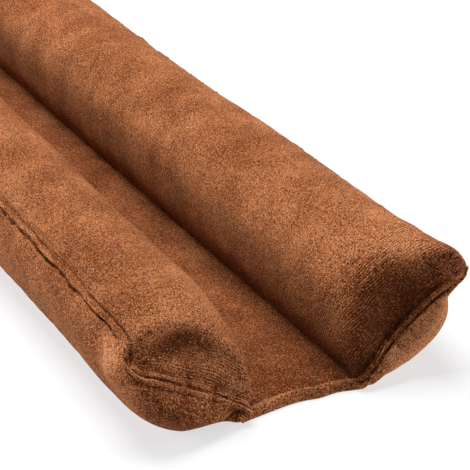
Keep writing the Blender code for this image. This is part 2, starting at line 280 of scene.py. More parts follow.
def section_points(roll):
    """What the full roll's two panels are drawn through, from stitching to long seam."""
    seam = arc(roll, SEAM_ANGLE, SEAM_ANGLE, 1, SEAM_DEPTH)
    over = arc(roll, 180.0, SEAM_ANGLE + SEAM_HALF_ANGLE, TOP_ARC_POINTS)
    below = arc(roll, 0.0, SEAM_ANGLE - SEAM_HALF_ANGLE, UNDER_ARC_POINTS)
    return np.vstack([INNER_FOOT, over, seam]), np.vstack([UNDERSIDE, below, seam])


def on_chord(section):
    """Each point's foot on the straight line from the stitching to the long seam."""
    start = section[0]
    line = section[-1] - start
    reach = np.linalg.norm(line)
    line = line / reach
    along = np.clip((section - start) @ line, 0.0, reach)
    return start + along[:, None] * line


def end_surface(end, panel, section, share, swell):
    """Points (out, behind, up) of one panel near an end, for rows read from its table."""
    seam = smooth_values(end.seam, share)
    chord = on_chord(section)
    middle = np.sin(math.pi * share ** MIDDLES[panel].lean) ** MIDDLES[panel].power
    inner = (1.0 - middle) * (1.0 - share)
    outer = (1.0 - middle) * share
    rows = []
    for values in swell:
        row = Row(*values)
        flat = (1.0 - row.fullness) * seam[:, [0, 2]] + row.fullness * chord
        place = flat + row.fullness * (section - chord)
        near_stitching = getattr(row, panel + "_inner")
        in_middle = getattr(row, panel + "_middle")
        behind = seam[:, 1] + inner * near_stitching + middle * in_middle + outer * row.outer
        rows.append(np.column_stack([place[:, 0], behind, place[:, 1]]))
    return pushed(np.array(rows), end.folds)


def pushed(points, folds):
    """Push points (out, behind, up) by the folds, all but those at the stitching."""
    moved = points.copy()
    for fold in folds:
        place = np.array([fold.out, fold.behind, fold.up])
        reaches = np.array([fold.reach_out, fold.reach_behind, fold.reach_up])
        push = np.array([fold.push_out, fold.push_behind, fold.push_up])
        strength = np.exp(-(((points - place) / reaches) ** 2).sum(axis=-1))
        moved += strength[..., None] * push
    moved[:, 0] = points[:, 0]
    return moved


def swell_rows(end, section, share, coarseness):
    """The rows of an end's table, read finely along the middle of its top."""
    table = through(end.swell, CURVE_STEPS)
    middle = end_surface(end, "top", section, share, table)[:, len(share) // 2]
    run = run_along(middle)

    def gap(s):
        return coarseness * (END_COARSE - (END_COARSE - END_FINE) * fade(s, END_REACH))

    wanted = spaced(run[-1], gap)
    return np.stack([np.interp(wanted, run, column) for column in table.T], axis=1)


def around_shares(length):
    """Shares of a panel's width for its columns of points, close at the long seam."""
    def gap(s):
        return AROUND_COARSE - (AROUND_COARSE - AROUND_FINE) * fade(length - s, AROUND_REACH)

    return spaced(length, gap) / length


def body_stations():
    """Distances from the front plane for the rows between the two ends."""
    def gap(s):
        far = np.clip((s + END_LENGTH - BODY_NEAR) / BODY_NEAR, 0.0, 1.0)
        return BODY_FINE + (BODY_COARSE - BODY_FINE) * far
    return END_LENGTH + spaced(LENGTH - 2.0 * END_LENGTH, gap)


def roll_grids(roll):
    """Both panels of a roll as grids of points (out, behind, up), front to back."""
    top_points, under_points = section_points(roll)
    width = run_along(through(top_points, CURVE_STEPS))[-1]
    share = around_shares(width)
    sections = {"top": read_curve(top_points, share), "under": read_curve(under_points, share)}
    front, back = ENDS[roll.name, "front"], ENDS[roll.name, "back"]
    front_rows = swell_rows(front, sections["top"], share, 1.0)
    back_rows = swell_rows(back, sections["top"], share, BACK_COARSENESS)
    stations = body_stations()
    sizes = smooth_values(GIRTHS[roll.name], stations)[:, 0]
    grids = []
    for panel in ("top", "under"):
        section = sections[panel]
        near = end_surface(front, panel, section, share, front_rows)
        far = end_surface(back, panel, section, share, back_rows)
        far[..., 1] = LENGTH - far[..., 1]
        body = []
        for along, size in zip(stations, sizes):
            line = np.full(len(share), along)
            body.append(np.column_stack([section[:, 0] * size, line, section[:, 1] * size]))
        grids.append(np.concatenate([near, np.array(body), far[::-1]]))
    return grids, share


def placed(points, side):
    """Turn points (out, behind, up) of one side into the frame."""
    x = WEB_X + side * (WEB_WIDTH / 2.0 + GAP + points[..., 0])
    return np.stack([x, FRONT_Y + points[..., 1], points[..., 2]], axis=-1)


def joined(top, under):
    """Two panels' values side by side, with the last column that they share taken once."""
    return np.concatenate([top, under[:, -2::-1]], axis=1)


def ring_mesh(name, top, under, side):
    """A closed mesh from two panels that share their end rows and their last column."""
    rows, columns = top.shape[:2]
    ring = joined(top, under)
    index = np.arange(rows * ring.shape[1]).reshape(rows, ring.shape[1])
    for row in (0, rows - 1):
        index[row, columns:] = index[row, columns - 2::-1]
    following = np.roll(index, -1, axis=1)
    quads = np.stack([index[:-1], following[:-1], following[1:], index[1:]], axis=-1).reshape(-1, 4)
    if side < 0:
        quads = quads[:, ::-1]
    faces = [list(dict.fromkeys(quad)) for quad in quads.tolist()]
    faces = [face for face in faces if len(face) > 2]
    used = np.unique(np.concatenate([np.array(face) for face in faces]))
    number = np.zeros(index.size, dtype=int)
    number[used] = np.arange(len(used))
    faces = [[int(number[corner]) for corner in face] for face in faces]
    mesh = bpy.data.meshes.new(name)
    mesh.from_pydata(ring.reshape(-1, 3)[used].tolist(), [], faces)
    mesh.update()
    return mesh, used


def vertex_places(mesh):
    """The mesh's points as an array."""
    places = np.empty(len(mesh.vertices) * 3)
    mesh.vertices.foreach_get("co", places)
    return places.reshape(-1, 3)


def vertex_normals(mesh):
    """The mesh's normals at its points as an array."""
    normals = np.empty(len(mesh.vertices) * 3)
    mesh.vertex_normals.foreach_get("vector", normals)
    return normals.reshape(-1, 3)


def set_places(mesh, places):
    """Move the mesh's points, keeping them off the floor's far side."""
    places[:, 2] = np.maximum(places[:, 2], 0.0)
    mesh.vertices.foreach_set("co", places.ravel())
    mesh.update()


def set_attribute(mesh, name, values):
    """Store one number for each point of the mesh."""
    attribute = mesh.attributes.new(name, "FLOAT", "POINT")
    attribute.data.foreach_set("value", np.ascontiguousarray(values, dtype=np.float32))


def new_object(name, mesh, material):
    """Put a mesh in the scene, with smooth faces and one material."""
    mesh.materials.append(material)
    mesh.shade_smooth()
    piece = bpy.data.objects.new(name, mesh)
    bpy.context.scene.collection.objects.link(piece)
    return piece


# Materials

DARK_PILE = (0.070, 0.014, 0.0035, 1.0)
MID_PILE = (0.245, 0.064, 0.017, 1.0)
LIGHT_PILE = (0.560, 0.192, 0.065, 1.0)
PALE_PILE = (0.680, 0.325, 0.160, 1.0)
SHEEN_TINT = (1.0, 0.60, 0.34, 1.0)
GRAIN_SCALE = 1900.0      # tufts in a metre
PATCH_SCALE = 55.0        # brushed patches in a metre
PILE_HEIGHT = 0.0007
LINE_PITCH = 0.0011       # between the fine lines of crushed pile
LINE_HEIGHT = 0.0004
WAVER_SCALE = 90.0        # bends in a metre of such a line
WAVER = 16.0              # how far it bends, in radians of the wave that draws it
LINE_SHADE = 0.07         # how much the lines, and the patches, move the tone
PATCH_SHADE = 0.16
Stop = namedtuple("Stop", "position color")
PILE_STOPS = (
    Stop(0.516, DARK_PILE), Stop(0.580, MID_PILE), Stop(0.645, LIGHT_PILE), Stop(0.735, PALE_PILE),
)


class Nodes:
    """Adds and links the nodes of one material."""

    def __init__(self, name):
        self.material = bpy.data.materials.new(name)
        self.material.use_nodes = True
        self.tree = self.material.node_tree
        self.shader = self.tree.nodes["Principled BSDF"]

    def add(self, kind, settings=(), inputs=(), links=()):
        node = self.tree.nodes.new(kind)
        for key, value in dict(settings).items():
            setattr(node, key, value)
        for key, value in dict(inputs).items():
            node.inputs[key].default_value = value
        for key, socket in dict(links).items():
            self.tree.links.new(socket, node.inputs[key])
        return node

    def attribute(self, name):
        return self.add("ShaderNodeAttribute", {"attribute_name": name}).outputs["Fac"]

    def grain(self, place, **inputs):
        return self.add("ShaderNodeTexNoise", (), inputs, {"Vector": place}).outputs["Fac"]

    def reckon(self, operation, *values):
        node = self.add("ShaderNodeMath", {"operation": operation})
        for place, value in zip(node.inputs, values):
            if isinstance(value, float):
                place.default_value = value
            else:
                self.tree.links.new(value, place)
        return node.outputs[0]

    def link(self, socket, key):
        self.tree.links.new(socket, self.shader.inputs[key])


def plush_material():
    """Short rust-brown pile: fine tufts, brushed patches and lines where it is crushed."""
    nodes = Nodes("plush")
    place = nodes.add("ShaderNodeTexCoord").outputs["Object"]
    tuft = nodes.grain(place, Scale=GRAIN_SCALE, Detail=2.0, Roughness=0.6, Distortion=1.2)
    patch = nodes.grain(place, Scale=PATCH_SCALE, Detail=3.0, Roughness=0.55)
    waver = nodes.grain(place, Scale=WAVER_SCALE, Detail=2.0)
    turns = nodes.reckon("MULTIPLY", nodes.attribute("line_place"), 2.0 * math.pi / LINE_PITCH)
    stripes = nodes.reckon("SINE", nodes.reckon("MULTIPLY_ADD", waver, WAVER, turns))
    lines = nodes.reckon("MULTIPLY", stripes, nodes.attribute("line_strength"))
    lined = nodes.reckon("MULTIPLY_ADD", lines, LINE_SHADE, tuft)
    tone = nodes.reckon("MULTIPLY_ADD", patch, PATCH_SHADE, lined)
    # Painted light and shade, stored on each mesh, moves the tone of the pile's colour
    shade = nodes.reckon("ADD", tone, nodes.attribute("painted_light_shade"))
    ramp = nodes.add("ShaderNodeValToRGB", links={"Fac": shade})
    elements = ramp.color_ramp.elements
    elements.remove(elements[1])
    elements[0].position = PILE_STOPS[0].position
    elements[0].color = PILE_STOPS[0].color
    for stop in PILE_STOPS[1:]:
        elements.new(stop.position).color = stop.color
    nodes.link(ramp.outputs["Color"], "Base Color")
    tufts = nodes.add(
        "ShaderNodeBump", inputs={"Strength": 1.0, "Distance": PILE_HEIGHT},
        links={"Height": tuft},
    )
    crushed = nodes.add(
        "ShaderNodeBump", inputs={"Strength": 0.6, "Distance": LINE_HEIGHT},
        links={"Height": lines, "Normal": tufts.outputs["Normal"]},
    )
    nodes.link(crushed.outputs["Normal"], "Normal")
    nodes.shader.inputs["Roughness"].default_value = 0.85
    nodes.shader.inputs["Specular IOR Level"].default_value = 0.04
    nodes.shader.inputs["Sheen Weight"].default_value = 0.14
    nodes.shader.inputs["Sheen Roughness"].default_value = 0.35
    nodes.shader.inputs["Sheen Tint"].default_value = SHEEN_TINT
    return nodes.material


# Rolls

Spot = namedtuple("Spot", "out behind up")
Crease = namedtuple("Crease", "width depth spots")       # a depth below nothing is a ridge
Profile = namedtuple("Profile", "distance top under")
Line = namedtuple("Line", "start stop distance depth")   # beside the long seam
PaintedLight = namedtuple("PaintedLight", "out behind up reach_out reach_behind reach_up tone")   # painted light (a tone above nothing) and painted shade (below nothing) in a soft spot

# Soft spots of painted light (tone above nothing) and painted shade (tone below nothing) over the ends
# of the rolls
LEFT_PAINTED_LIGHT = (
    PaintedLight(0.0475, 0.0175, 0.0320, 0.006, 0.009, 0.009, 0.052),
    PaintedLight(0.0220, 0.0140, 0.0360, 0.010, 0.005, 0.0040, -0.065),
    PaintedLight(0.0330, 0.0110, 0.0350, 0.010, 0.005, 0.0045, -0.040),
    PaintedLight(0.0280, 0.0072, 0.0290, 0.007, 0.004, 0.0022, 0.030),
    PaintedLight(0.0290, -0.0010, 0.0130, 0.022, 0.009, 0.012, -0.058),
    PaintedLight(0.0300, 0.0040, 0.0230, 0.012, 0.005, 0.006, -0.018),
    PaintedLight(0.0220, 0.0200, 0.0460, 0.016, 0.010, 0.007, 0.036),
    PaintedLight(0.0330, 0.0700, 0.0480, 0.016, 0.040, 0.012, -0.016),
    PaintedLight(0.0470, 0.0850, 0.0280, 0.006, 0.035, 0.012, -0.026),
    PaintedLight(0.0070, 0.0130, 0.0270, 0.008, 0.007, 0.009, 0.034),
)
RIGHT_PAINTED_LIGHT = (
    PaintedLight(0.0210, 0.0230, 0.0520, 0.017, 0.030, 0.009, 0.046),
    PaintedLight(0.0120, 0.0100, 0.0260, 0.016, 0.006, 0.020, -0.055),
    PaintedLight(0.0250, 0.0100, 0.0380, 0.010, 0.005, 0.012, -0.030),
    PaintedLight(0.0370, 0.0065, 0.0440, 0.005, 0.004, 0.005, -0.035),
    PaintedLight(0.0080, 0.0140, 0.0400, 0.010, 0.008, 0.012, -0.035),
    PaintedLight(0.0430, 0.0020, 0.0440, 0.005, 0.004, 0.006, 0.040),
    PaintedLight(0.0253, 0.0153, 0.0512, 0.008, 0.006, 0.006, 0.024),
    PaintedLight(0.0162, 0.0186, 0.0498, 0.008, 0.006, 0.006, 0.030),
)
BACK_PAINTED_LIGHT = (
    PaintedLight(0.0280, 0.0110, 0.0350, 0.014, 0.008, 0.009, -0.020),
    PaintedLight(0.0300, 0.0020, 0.0150, 0.018, 0.010, 0.012, -0.014),
)
PAINTED_LIGHTS = {
    ("roll_left", "front"): LEFT_PAINTED_LIGHT,
    ("roll_right", "front"): RIGHT_PAINTED_LIGHT,
    ("roll_left", "back"): BACK_PAINTED_LIGHT,
    ("roll_right", "back"): BACK_PAINTED_LIGHT,
}
LEFT_CREASES = (
    # The hollow under the brow, the brow above it and the low mound below it
    Crease(0.0032, 0.0022, (
        Spot(0.0415, 0.0110, 0.0352), Spot(0.0338, 0.0125, 0.0366), Spot(0.0232, 0.0130, 0.0372),
        Spot(0.0150, 0.0120, 0.0325), Spot(0.0108, 0.0110, 0.0270),
    )),
    Crease(0.0030, -0.0014, (
        Spot(0.0395, 0.0150, 0.0395), Spot(0.0330, 0.0150, 0.0418), Spot(0.0240, 0.0150, 0.0420),
        Spot(0.0160, 0.0140, 0.0375), Spot(0.0110, 0.0130, 0.0310),
    )),
    Crease(0.0036, -0.0009, (
        Spot(0.0371, 0.0071, 0.0316), Spot(0.0305, 0.0086, 0.0299), Spot(0.0240, 0.0097, 0.0292),
        Spot(0.0179, 0.0097, 0.0258),
    )),
    # The bulge of the corner, with the dents on both sides of its ridge
    Crease(0.0016, -0.0010, (
        Spot(0.0445, 0.0316, 0.0356), Spot(0.0469, 0.0253, 0.0344), Spot(0.0479, 0.0213, 0.0313),
        Spot(0.0478, 0.0193, 0.0265), Spot(0.0462, 0.0200, 0.0205),
    )),
    Crease(0.0018, 0.0011, (
        Spot(0.0449, 0.0346, 0.0339), Spot(0.0468, 0.0290, 0.0310), Spot(0.0478, 0.0245, 0.0270),
        Spot(0.0460, 0.0250, 0.0200),
    )),
    Crease(0.0015, -0.0006, (
        Spot(0.0459, 0.0205, 0.0362), Spot(0.0462, 0.0160, 0.0330), Spot(0.0448, 0.0115, 0.0310),
    )),
    # Short gathers that fan out from the corner of the seam
    Crease(0.0006, 0.0005, (Spot(0.0425, 0.0112, 0.0375), Spot(0.0370, 0.0112, 0.0362))),
    Crease(0.0006, 0.0006, (Spot(0.0422, 0.0096, 0.0360), Spot(0.0375, 0.0095, 0.0340))),
    Crease(0.0006, 0.0005, (Spot(0.0415, 0.0085, 0.0345), Spot(0.0368, 0.0080, 0.0325))),
    Crease(0.0006, 0.0004, (Spot(0.0400, 0.0072, 0.0330), Spot(0.0350, 0.0068, 0.0310))),
    # The lip along the seam, below the hollow
    Crease(0.0010, -0.0007, (
        Spot(0.0446, 0.0100, 0.0338), Spot(0.0430, 0.0062, 0.0303), Spot(0.0388, 0.0044, 0.0275),
        Spot(0.0330, 0.0037, 0.0250), Spot(0.0270, 0.0032, 0.0220),
    )),
    # The gathered corner beside the web, under the tip
    Crease(0.0024, -0.0018, (
        Spot(-0.0005, 0.0030, 0.0034), Spot(0.0040, 0.0022, 0.0028), Spot(0.0085, 0.0012, 0.0020),
    )),
    Crease(0.0014, 0.0015, (
        Spot(0.0000, 0.0022, 0.0080), Spot(0.0036, 0.0016, 0.0064), Spot(0.0075, 0.0007, 0.0050),
        Spot(0.0120, -0.0005, 0.0034),
    )),
)
RIGHT_CREASES = (
    # The pocket behind the ear and the ear's own fold
    Crease(0.0030, 0.0022, (
        Spot(0.0306, 0.0105, 0.0470), Spot(0.0335, 0.0084, 0.0447), Spot(0.0358, 0.0061, 0.0413),
        Spot(0.0368, 0.0032, 0.0377),
    )),
    Crease(0.0020, -0.0006, (
        Spot(0.0401, 0.0084, 0.0487), Spot(0.0429, 0.0049, 0.0471), Spot(0.0436, 0.0022, 0.0438),
        Spot(0.0424, 0.0005, 0.0407),
    )),
    Crease(0.0007, 0.0009, (
        Spot(0.0395, 0.0085, 0.0505), Spot(0.0389, 0.0065, 0.0495), Spot(0.0373, 0.0062, 0.0482),
        Spot(0.0363, 0.0063, 0.0466),
    )),
    Crease(0.0007, 0.0010, (
        Spot(0.0412, 0.0062, 0.0500), Spot(0.0407, 0.0051, 0.0489), Spot(0.0395, 0.0048, 0.0477),
        Spot(0.0385, 0.0047, 0.0462),
    )),
    Crease(0.0006, 0.0009, (
        Spot(0.0428, 0.0042, 0.0480), Spot(0.0421, 0.0034, 0.0471), Spot(0.0403, 0.0032, 0.0442),
        Spot(0.0398, 0.0030, 0.0411),
    )),
    Crease(0.0005, 0.0008, (
        Spot(0.0440, 0.0012, 0.0430), Spot(0.0434, 0.0006, 0.0414), Spot(0.0424, 0.0006, 0.0388),
    )),
    # The gathered corner beside the web
    Crease(0.0026, -0.0020, (
        Spot(0.0000, 0.0040, 0.0030), Spot(0.0040, 0.0034, 0.0030), Spot(0.0080, 0.0030, 0.0022),
    )),
    Crease(0.0012, 0.0012, (
        Spot(0.0020, 0.0044, 0.0074), Spot(0.0070, 0.0036, 0.0066), Spot(0.0120, 0.0030, 0.0050),
    )),
    # Short creases over the edge between the wall and the top
    Crease(0.0005, 0.0008, (
        Spot(0.0109, 0.0173, 0.0460), Spot(0.0147, 0.0161, 0.0478), Spot(0.0189, 0.0154, 0.0494),
    )),
    Crease(0.0005, 0.0008, (
        Spot(0.0117, 0.0139, 0.0439), Spot(0.0155, 0.0137, 0.0465), Spot(0.0192, 0.0140, 0.0488),
    )),
)
BACK_CREASES = (
    Crease(0.0034, 0.0015, (
        Spot(0.0380, 0.0110, 0.0380), Spot(0.0280, 0.0120, 0.0410), Spot(0.0160, 0.0120, 0.0370),
    )),
    Crease(0.0016, -0.0008, (
        Spot(0.0450, 0.0300, 0.0350), Spot(0.0470, 0.0220, 0.0310), Spot(0.0462, 0.0190, 0.0220),
    )),
)
CREASES = {
    ("roll_left", "front"): LEFT_CREASES,
    ("roll_right", "front"): RIGHT_CREASES,
    ("roll_left", "back"): BACK_CREASES,
    ("roll_right", "back"): BACK_CREASES,
}
LEFT_END_SEAM = (
    Profile(0.0000, -0.0008, -0.0006), Profile(0.0005, -0.0002, 0.0002),
    Profile(0.0012, 0.0006, 0.0009), Profile(0.0020, 0.0003, 0.0005),
    Profile(0.0032, -0.0003, -0.0005), Profile(0.0048, -0.0001, -0.0002),
    Profile(0.0070, 0.0000, 0.0000), Profile(0.0200, 0.0000, 0.0000),
)
RIGHT_END_SEAM = (
    Profile(0.0000, -0.0006, -0.0010), Profile(0.0005, 0.0002, -0.0004),
    Profile(0.0012, 0.0009, 0.0003), Profile(0.0020, 0.0007, 0.0002),
    Profile(0.0030, -0.0005, 0.0000), Profile(0.0046, -0.0001, 0.0000),
    Profile(0.0070, 0.0000, 0.0000), Profile(0.0200, 0.0000, 0.0000),
)
END_SEAMS = {"roll_left": LEFT_END_SEAM, "roll_right": RIGHT_END_SEAM}
# Painted light and painted shade beside an end seam, lighter above nothing and darker below it
LEFT_END_PAINTED_LIGHT = (
    Profile(0.0000, -0.010, -0.010), Profile(0.0010, 0.000, 0.010), Profile(0.0030, -0.010, 0.000),
    Profile(0.0080, 0.000, 0.000), Profile(0.0400, 0.000, 0.000),
)
RIGHT_END_PAINTED_LIGHT = (
    Profile(0.0000, -0.030, -0.040), Profile(0.0006, -0.030, 0.010), Profile(0.0014, -0.030, 0.055),
    Profile(0.0026, -0.055, 0.060), Profile(0.0045, -0.045, 0.060), Profile(0.0090, -0.030, 0.060),
    Profile(0.0160, -0.010, 0.045), Profile(0.0260, 0.000, 0.015), Profile(0.0400, 0.000, 0.000),
)
END_PAINTED_LIGHTS = {"roll_left": LEFT_END_PAINTED_LIGHT, "roll_right": RIGHT_END_PAINTED_LIGHT}
LONG_SEAM = (
    Profile(0.0000, -0.0014, -0.0014), Profile(0.0004, -0.0007, -0.0006),
    Profile(0.0009, 0.0004, 0.0001), Profile(0.0017, 0.0007, 0.0002),
    Profile(0.0026, 0.0003, 0.0000), Profile(0.0034, 0.0000, 0.0000),
    Profile(0.0200, 0.0000, 0.0000),
)
SEAM_LINES = (
    Line(0.008, 0.064, 0.0034, 0.0013), Line(0.058, 0.084, 0.0042, 0.0008),
    Line(0.050, 0.070, 0.0055, 0.0007), Line(0.078, 0.108, 0.0030, 0.0010),
    Line(0.082, 0.100, 0.0041, 0.0008), Line(0.104, 0.130, 0.0033, 0.0011),
    Line(0.098, 0.120, 0.0052, 0.0008), Line(0.124, 0.150, 0.0043, 0.0009),
    Line(0.128, 0.190, 0.0032, 0.0012), Line(0.180, 0.230, 0.0042, 0.0008),
    Line(0.220, 0.300, 0.0034, 0.0010), Line(0.280, 0.350, 0.0050, 0.0007),
    Line(0.340, 0.460, 0.0032, 0.0010), Line(0.430, 0.560, 0.0046, 0.0007),
    Line(0.540, 0.700, 0.0033, 0.0010), Line(0.650, 0.760, 0.0043, 0.0007),
    Line(0.770, 0.890, 0.0034, 0.0010),
)
LINE_WIDTH = 0.00045
LINE_SWAY = 0.0006
LINE_SWAY_PERIOD = 0.022
LINE_SHARES = {"roll_left": 1.0, "roll_right": 0.3}   # how deep the lines are
# How far the fine lines of crushed pile reach over an end, from its seam
CRUSHED_REACHES = {"roll_left": 0.013, "roll_right": 0.032}
CRUSHED_GAP = 0.0040      # between patches of such lines, across them and along them
CRUSHED_RUN = 0.0220
CRUSHED_SIDE = 0.0042     # their place beside the long seam
CRUSHED_SIDE_REACH = 0.0026
CRUSHED_SIDE_PERIOD = 0.021
UNDER_SHARE = 0.35        # their strength on the underside panel
SEAM_DROP = 0.0011        # how far below its panels' border the long seam shows near the front
SEAM_DROP_REACH = 0.075
CORNER_DROP = 0.0018      # how much further still, close to the corner
CORNER_PLACE = 0.014
CORNER_REACH = 0.012
Wave = namedtuple("Wave", "height period shift")
SEAM_UNEVENNESS = (Wave(0.5, 0.0110, 0.0), Wave(0.5, 0.0032, 9.0))
SEAM_SWAY = (Wave(0.0005, 0.0070, 5.0), Wave(0.0003, 0.0025, 6.0))
END_PAINTED_LIGHT_FADE = 0.16      # the share of a panel's width, at the long seam, without an end's painted light and shade
RELIEF_PAINTED_SHADE = 60.0          # painted light on raised relief and painted shade in sunken relief, per metre of height
DEEPEST_PAINTED_SHADE = 0.0012        # the painted shade is no darker than at this depth
HIGHEST_PAINTED_LIGHT = 0.0006
PAINTED_CREASE_WIDTH = 0.0017           # only creases narrower than this get painted shade in their hollows and painted light on their ridges
GATHER_PERIOD = 0.0036    # along a seam
GATHER_HEIGHT = 0.0006
GATHER_REACH = 0.0060     # away from the seam
GATHER_START = 0.0012
LONG_GATHER_PERIOD = 0.0052
LONG_GATHER_HEIGHT = 0.00035
LONG_GATHER_PLACE = 0.0015
LONG_GATHER_REACH = 0.0028
WELT_PERIOD = 0.0042      # along an end seam, of its height
TIP_GATHER_HEIGHT = 0.0011
TIP_SHARE = 0.45          # the part of an end seam nearest to the web
LUMP_SIZE = 0.045         # soft lumps in the stuffing
LUMP_HEIGHT = 0.0006
CREASE_REACH = 0.060      # no crease lies deeper behind a plane than this
CREASE_STEPS = 14
PROFILE_STEPS = 8


# The stuffing is simulated on cloth ten times as large, where it moves as slowly as it should
STUFF_SCALE = 10.0
STUFF_GAP = 0.0045        # between the points of the simulated cloth
STUFF_END_GAP = 0.0030
STUFF_MASS = 0.02
STUFF_PRESSURE = 3.0
STUFF_SLACK = 0.012       # how much larger than its shape the cloth was cut
STUFF_SLIMMER = 0.0007    # how far inside its shape the cloth starts
STUFF_FRAMES = 20
STUFF_CAP = 0.0022        # no point of the cloth is taken to move further than this
STUFF_SHARE = 0.40        # how much of its movement the roll takes on
STUFF_CALM = 0.060        # it takes on less within this distance of an end
STUFF_FLOOR = 0.004       # cloth below this height lies still


def run_over(grid, axis):
    """The distance along one direction of a grid of points."""
    steps = np.linalg.norm(np.diff(grid, axis=axis), axis=2)
    start = np.zeros_like(np.take(steps, [0], axis=axis))
    return np.concatenate([start, np.cumsum(steps, axis=axis)], axis=axis)


def wave(places, period, seed):
    """Soft noise between about -1 and 1 along a line of places."""
    return 2.0 * np.array([noise.noise(Vector((place / period, seed, 0.5))) for place in places])


def waves(places, table, seed):
    """The sum of a table's rows of soft noise along a line of places."""
    return sum(row.height * wave(places, row.period, seed + row.shift) for row in table)


def read_profile(table, panel, distance):
    """What a seam's profile gives at some distance from the seam."""
    rows = through(table, PROFILE_STEPS)
    column = 1 if panel == "top" else 2
    return np.interp(distance, rows[:, 0], rows[:, column])


def end_seam_relief(grid, share, panel, table, seed):
    """Heights of the seam and its gathers at the first row of a grid."""
    away = run_over(grid, 0)
    seam = run_over(grid[:1], 1)[0]
    strength = (0.9 + 0.45 * wave(seam, WELT_PERIOD, seed)) * (1.0 - 0.8 * fade(1.0 - share, 0.06))
    welt = read_profile(table, panel, away) * strength
    tip = np.clip((TIP_SHARE - share) / TIP_SHARE, 0.0, 1.0) ** 0.5
    height = GATHER_HEIGHT + (TIP_GATHER_HEIGHT - GATHER_HEIGHT) * tip
    pleats = np.minimum(wave(seam, GATHER_PERIOD, seed + 7.3), 0.25)
    held = np.minimum(away / GATHER_START, 1.0)
    relief = welt + pleats * height * held * fade(away, GATHER_REACH)
    return np.where(away < 0.03, relief, 0.0)


def long_seam_relief(grid, panel, seed, line_share):
    """Heights of the long seam, with the lines of crushed pile above it."""
    across = run_over(grid, 1)
    away = across[:, -1:] - across
    along = grid[:, -1, 1]
    uneven = 0.8 + waves(along, SEAM_UNEVENNESS, seed)
    drop = SEAM_DROP * fade(along, SEAM_DROP_REACH) + waves(along, SEAM_SWAY, seed)
    drop += CORNER_DROP * fade(along - CORNER_PLACE, CORNER_REACH)
    place = (away if panel == "top" else -away) + drop[:, None]
    sides = [read_profile(LONG_SEAM, side, np.abs(place)) for side in ("top", "under")]
    relief = np.where(place > 0.0, sides[0], sides[1]) * uneven[:, None]
    gathers = LONG_GATHER_HEIGHT * np.minimum(wave(along, LONG_GATHER_PERIOD, seed + 3.1), 0.2)
    relief += gathers[:, None] * fade(away - LONG_GATHER_PLACE, LONG_GATHER_REACH)
    if panel == "top":
        for line in SEAM_LINES:
            middle = (line.start + line.stop) / 2.0
            half = (line.stop - line.start) / 2.0
            strength = np.clip(1.0 - ((along - middle) / half) ** 2, 0.0, 1.0) ** 0.5
            sway = LINE_SWAY * wave(along, LINE_SWAY_PERIOD, line.distance * 1000.0)
            gaps = away - (line.distance + sway)[:, None]
            dent = line_share * line.depth * strength
            relief -= dent[:, None] * fade(gaps, LINE_WIDTH)
    ends = np.minimum(along, LENGTH - along)
    return relief * (1.0 - fade(ends, 0.006))[:, None]


def crushed_lines(grid, share, panel, reach):
    """Where the fine lines of crushed pile run, and how strong they are."""
    behind = run_over(grid, 0)
    across = run_over(grid, 1)
    away = across[:, -1:] - across
    on_end = fade(np.maximum(behind - reach, 0.0), 0.004)
    spots = zip((behind / CRUSHED_GAP).ravel(), (across / CRUSHED_RUN).ravel())
    uneven = np.array([noise.noise(Vector((a, b, reach * 1000.0))) for a, b in spots])
    uneven = np.clip(0.72 + 1.3 * uneven.reshape(behind.shape), 0.1, 1.0)
    end_strength = uneven * on_end * (0.45 + 0.55 * fade(share[None, :] - 0.2, 0.25))
    patchy = 0.2 + 1.3 * wave(grid[:, -1, 1], CRUSHED_SIDE_PERIOD, 31.0)
    patchy = 0.6 * np.clip(patchy, 0.0, 1.0)[:, None]
    side_strength = patchy * fade(away - CRUSHED_SIDE, CRUSHED_SIDE_REACH) * (1.0 - on_end)
    if panel == "under":
        end_strength *= UNDER_SHARE
        side_strength *= UNDER_SHARE
    place = np.where(on_end > 0.5, behind, away)
    return place, np.maximum(end_strength, side_strength)


def crease_relief(places, creases):
    """Heights that a list of creases gives at points (out, behind, up)."""
    relief = np.zeros(len(places))
    near = np.flatnonzero(places[:, 1] < CREASE_REACH)
    for crease in creases:
        line = through(crease.spots, CREASE_STEPS)
        ends = np.sin(math.pi * np.linspace(0.04, 0.96, len(line))) ** 0.6
        gaps = np.linalg.norm(places[near, None, :] - line[None, :, :], axis=2)
        strength = (fade(gaps, crease.width) * ends).max(axis=1)
        relief[near] -= crease.depth * strength
    return relief


def painted_light_spots(places, light_spots):
    """Painted light and shade: how much lighter or darker the pile is made in soft spots."""
    tone = np.zeros(len(places))
    for painted_light_shade in light_spots:
        spot = np.array([painted_light_shade.out, painted_light_shade.behind, painted_light_shade.up])
        reaches = np.array([painted_light_shade.reach_out, painted_light_shade.reach_behind, painted_light_shade.reach_up])
        tone += painted_light_shade.tone * np.exp(-(((places - spot) / reaches) ** 2).sum(axis=1))
    return tone


def lumps(places, size, height):
    """Heights of soft lumps."""
    return height * np.array([noise.noise(Vector(place) / size) for place in places])


def picked(run, gap):
    """Which points of a line to take so that they lie about a gap apart."""
    wanted = spaced(run[-1], gap)
    return np.unique(np.abs(run[:, None] - wanted[None, :]).argmin(axis=0))


def read_between(values, places, wanted):
    """Read rows of values, given at some places, smoothly at the wanted places."""
    last = len(places) - 1
    index = np.clip(np.searchsorted(places, wanted, side="right") - 1, 0, last - 1)
    t = (wanted - places[index]) / (places[index + 1] - places[index])
    t = t.reshape([-1] + [1] * (values.ndim - 1))
    a = values[np.maximum(index - 1, 0)]
    b = values[index]
    c = values[index + 1]
    d = values[np.minimum(index + 2, last)]
    bend = 2.0 * a - 5.0 * b + 4.0 * c - d
    twist = 3.0 * b - a - 3.0 * c + d
    return b + 0.5 * ((c - a) * t + bend * t**2 + twist * t**3)


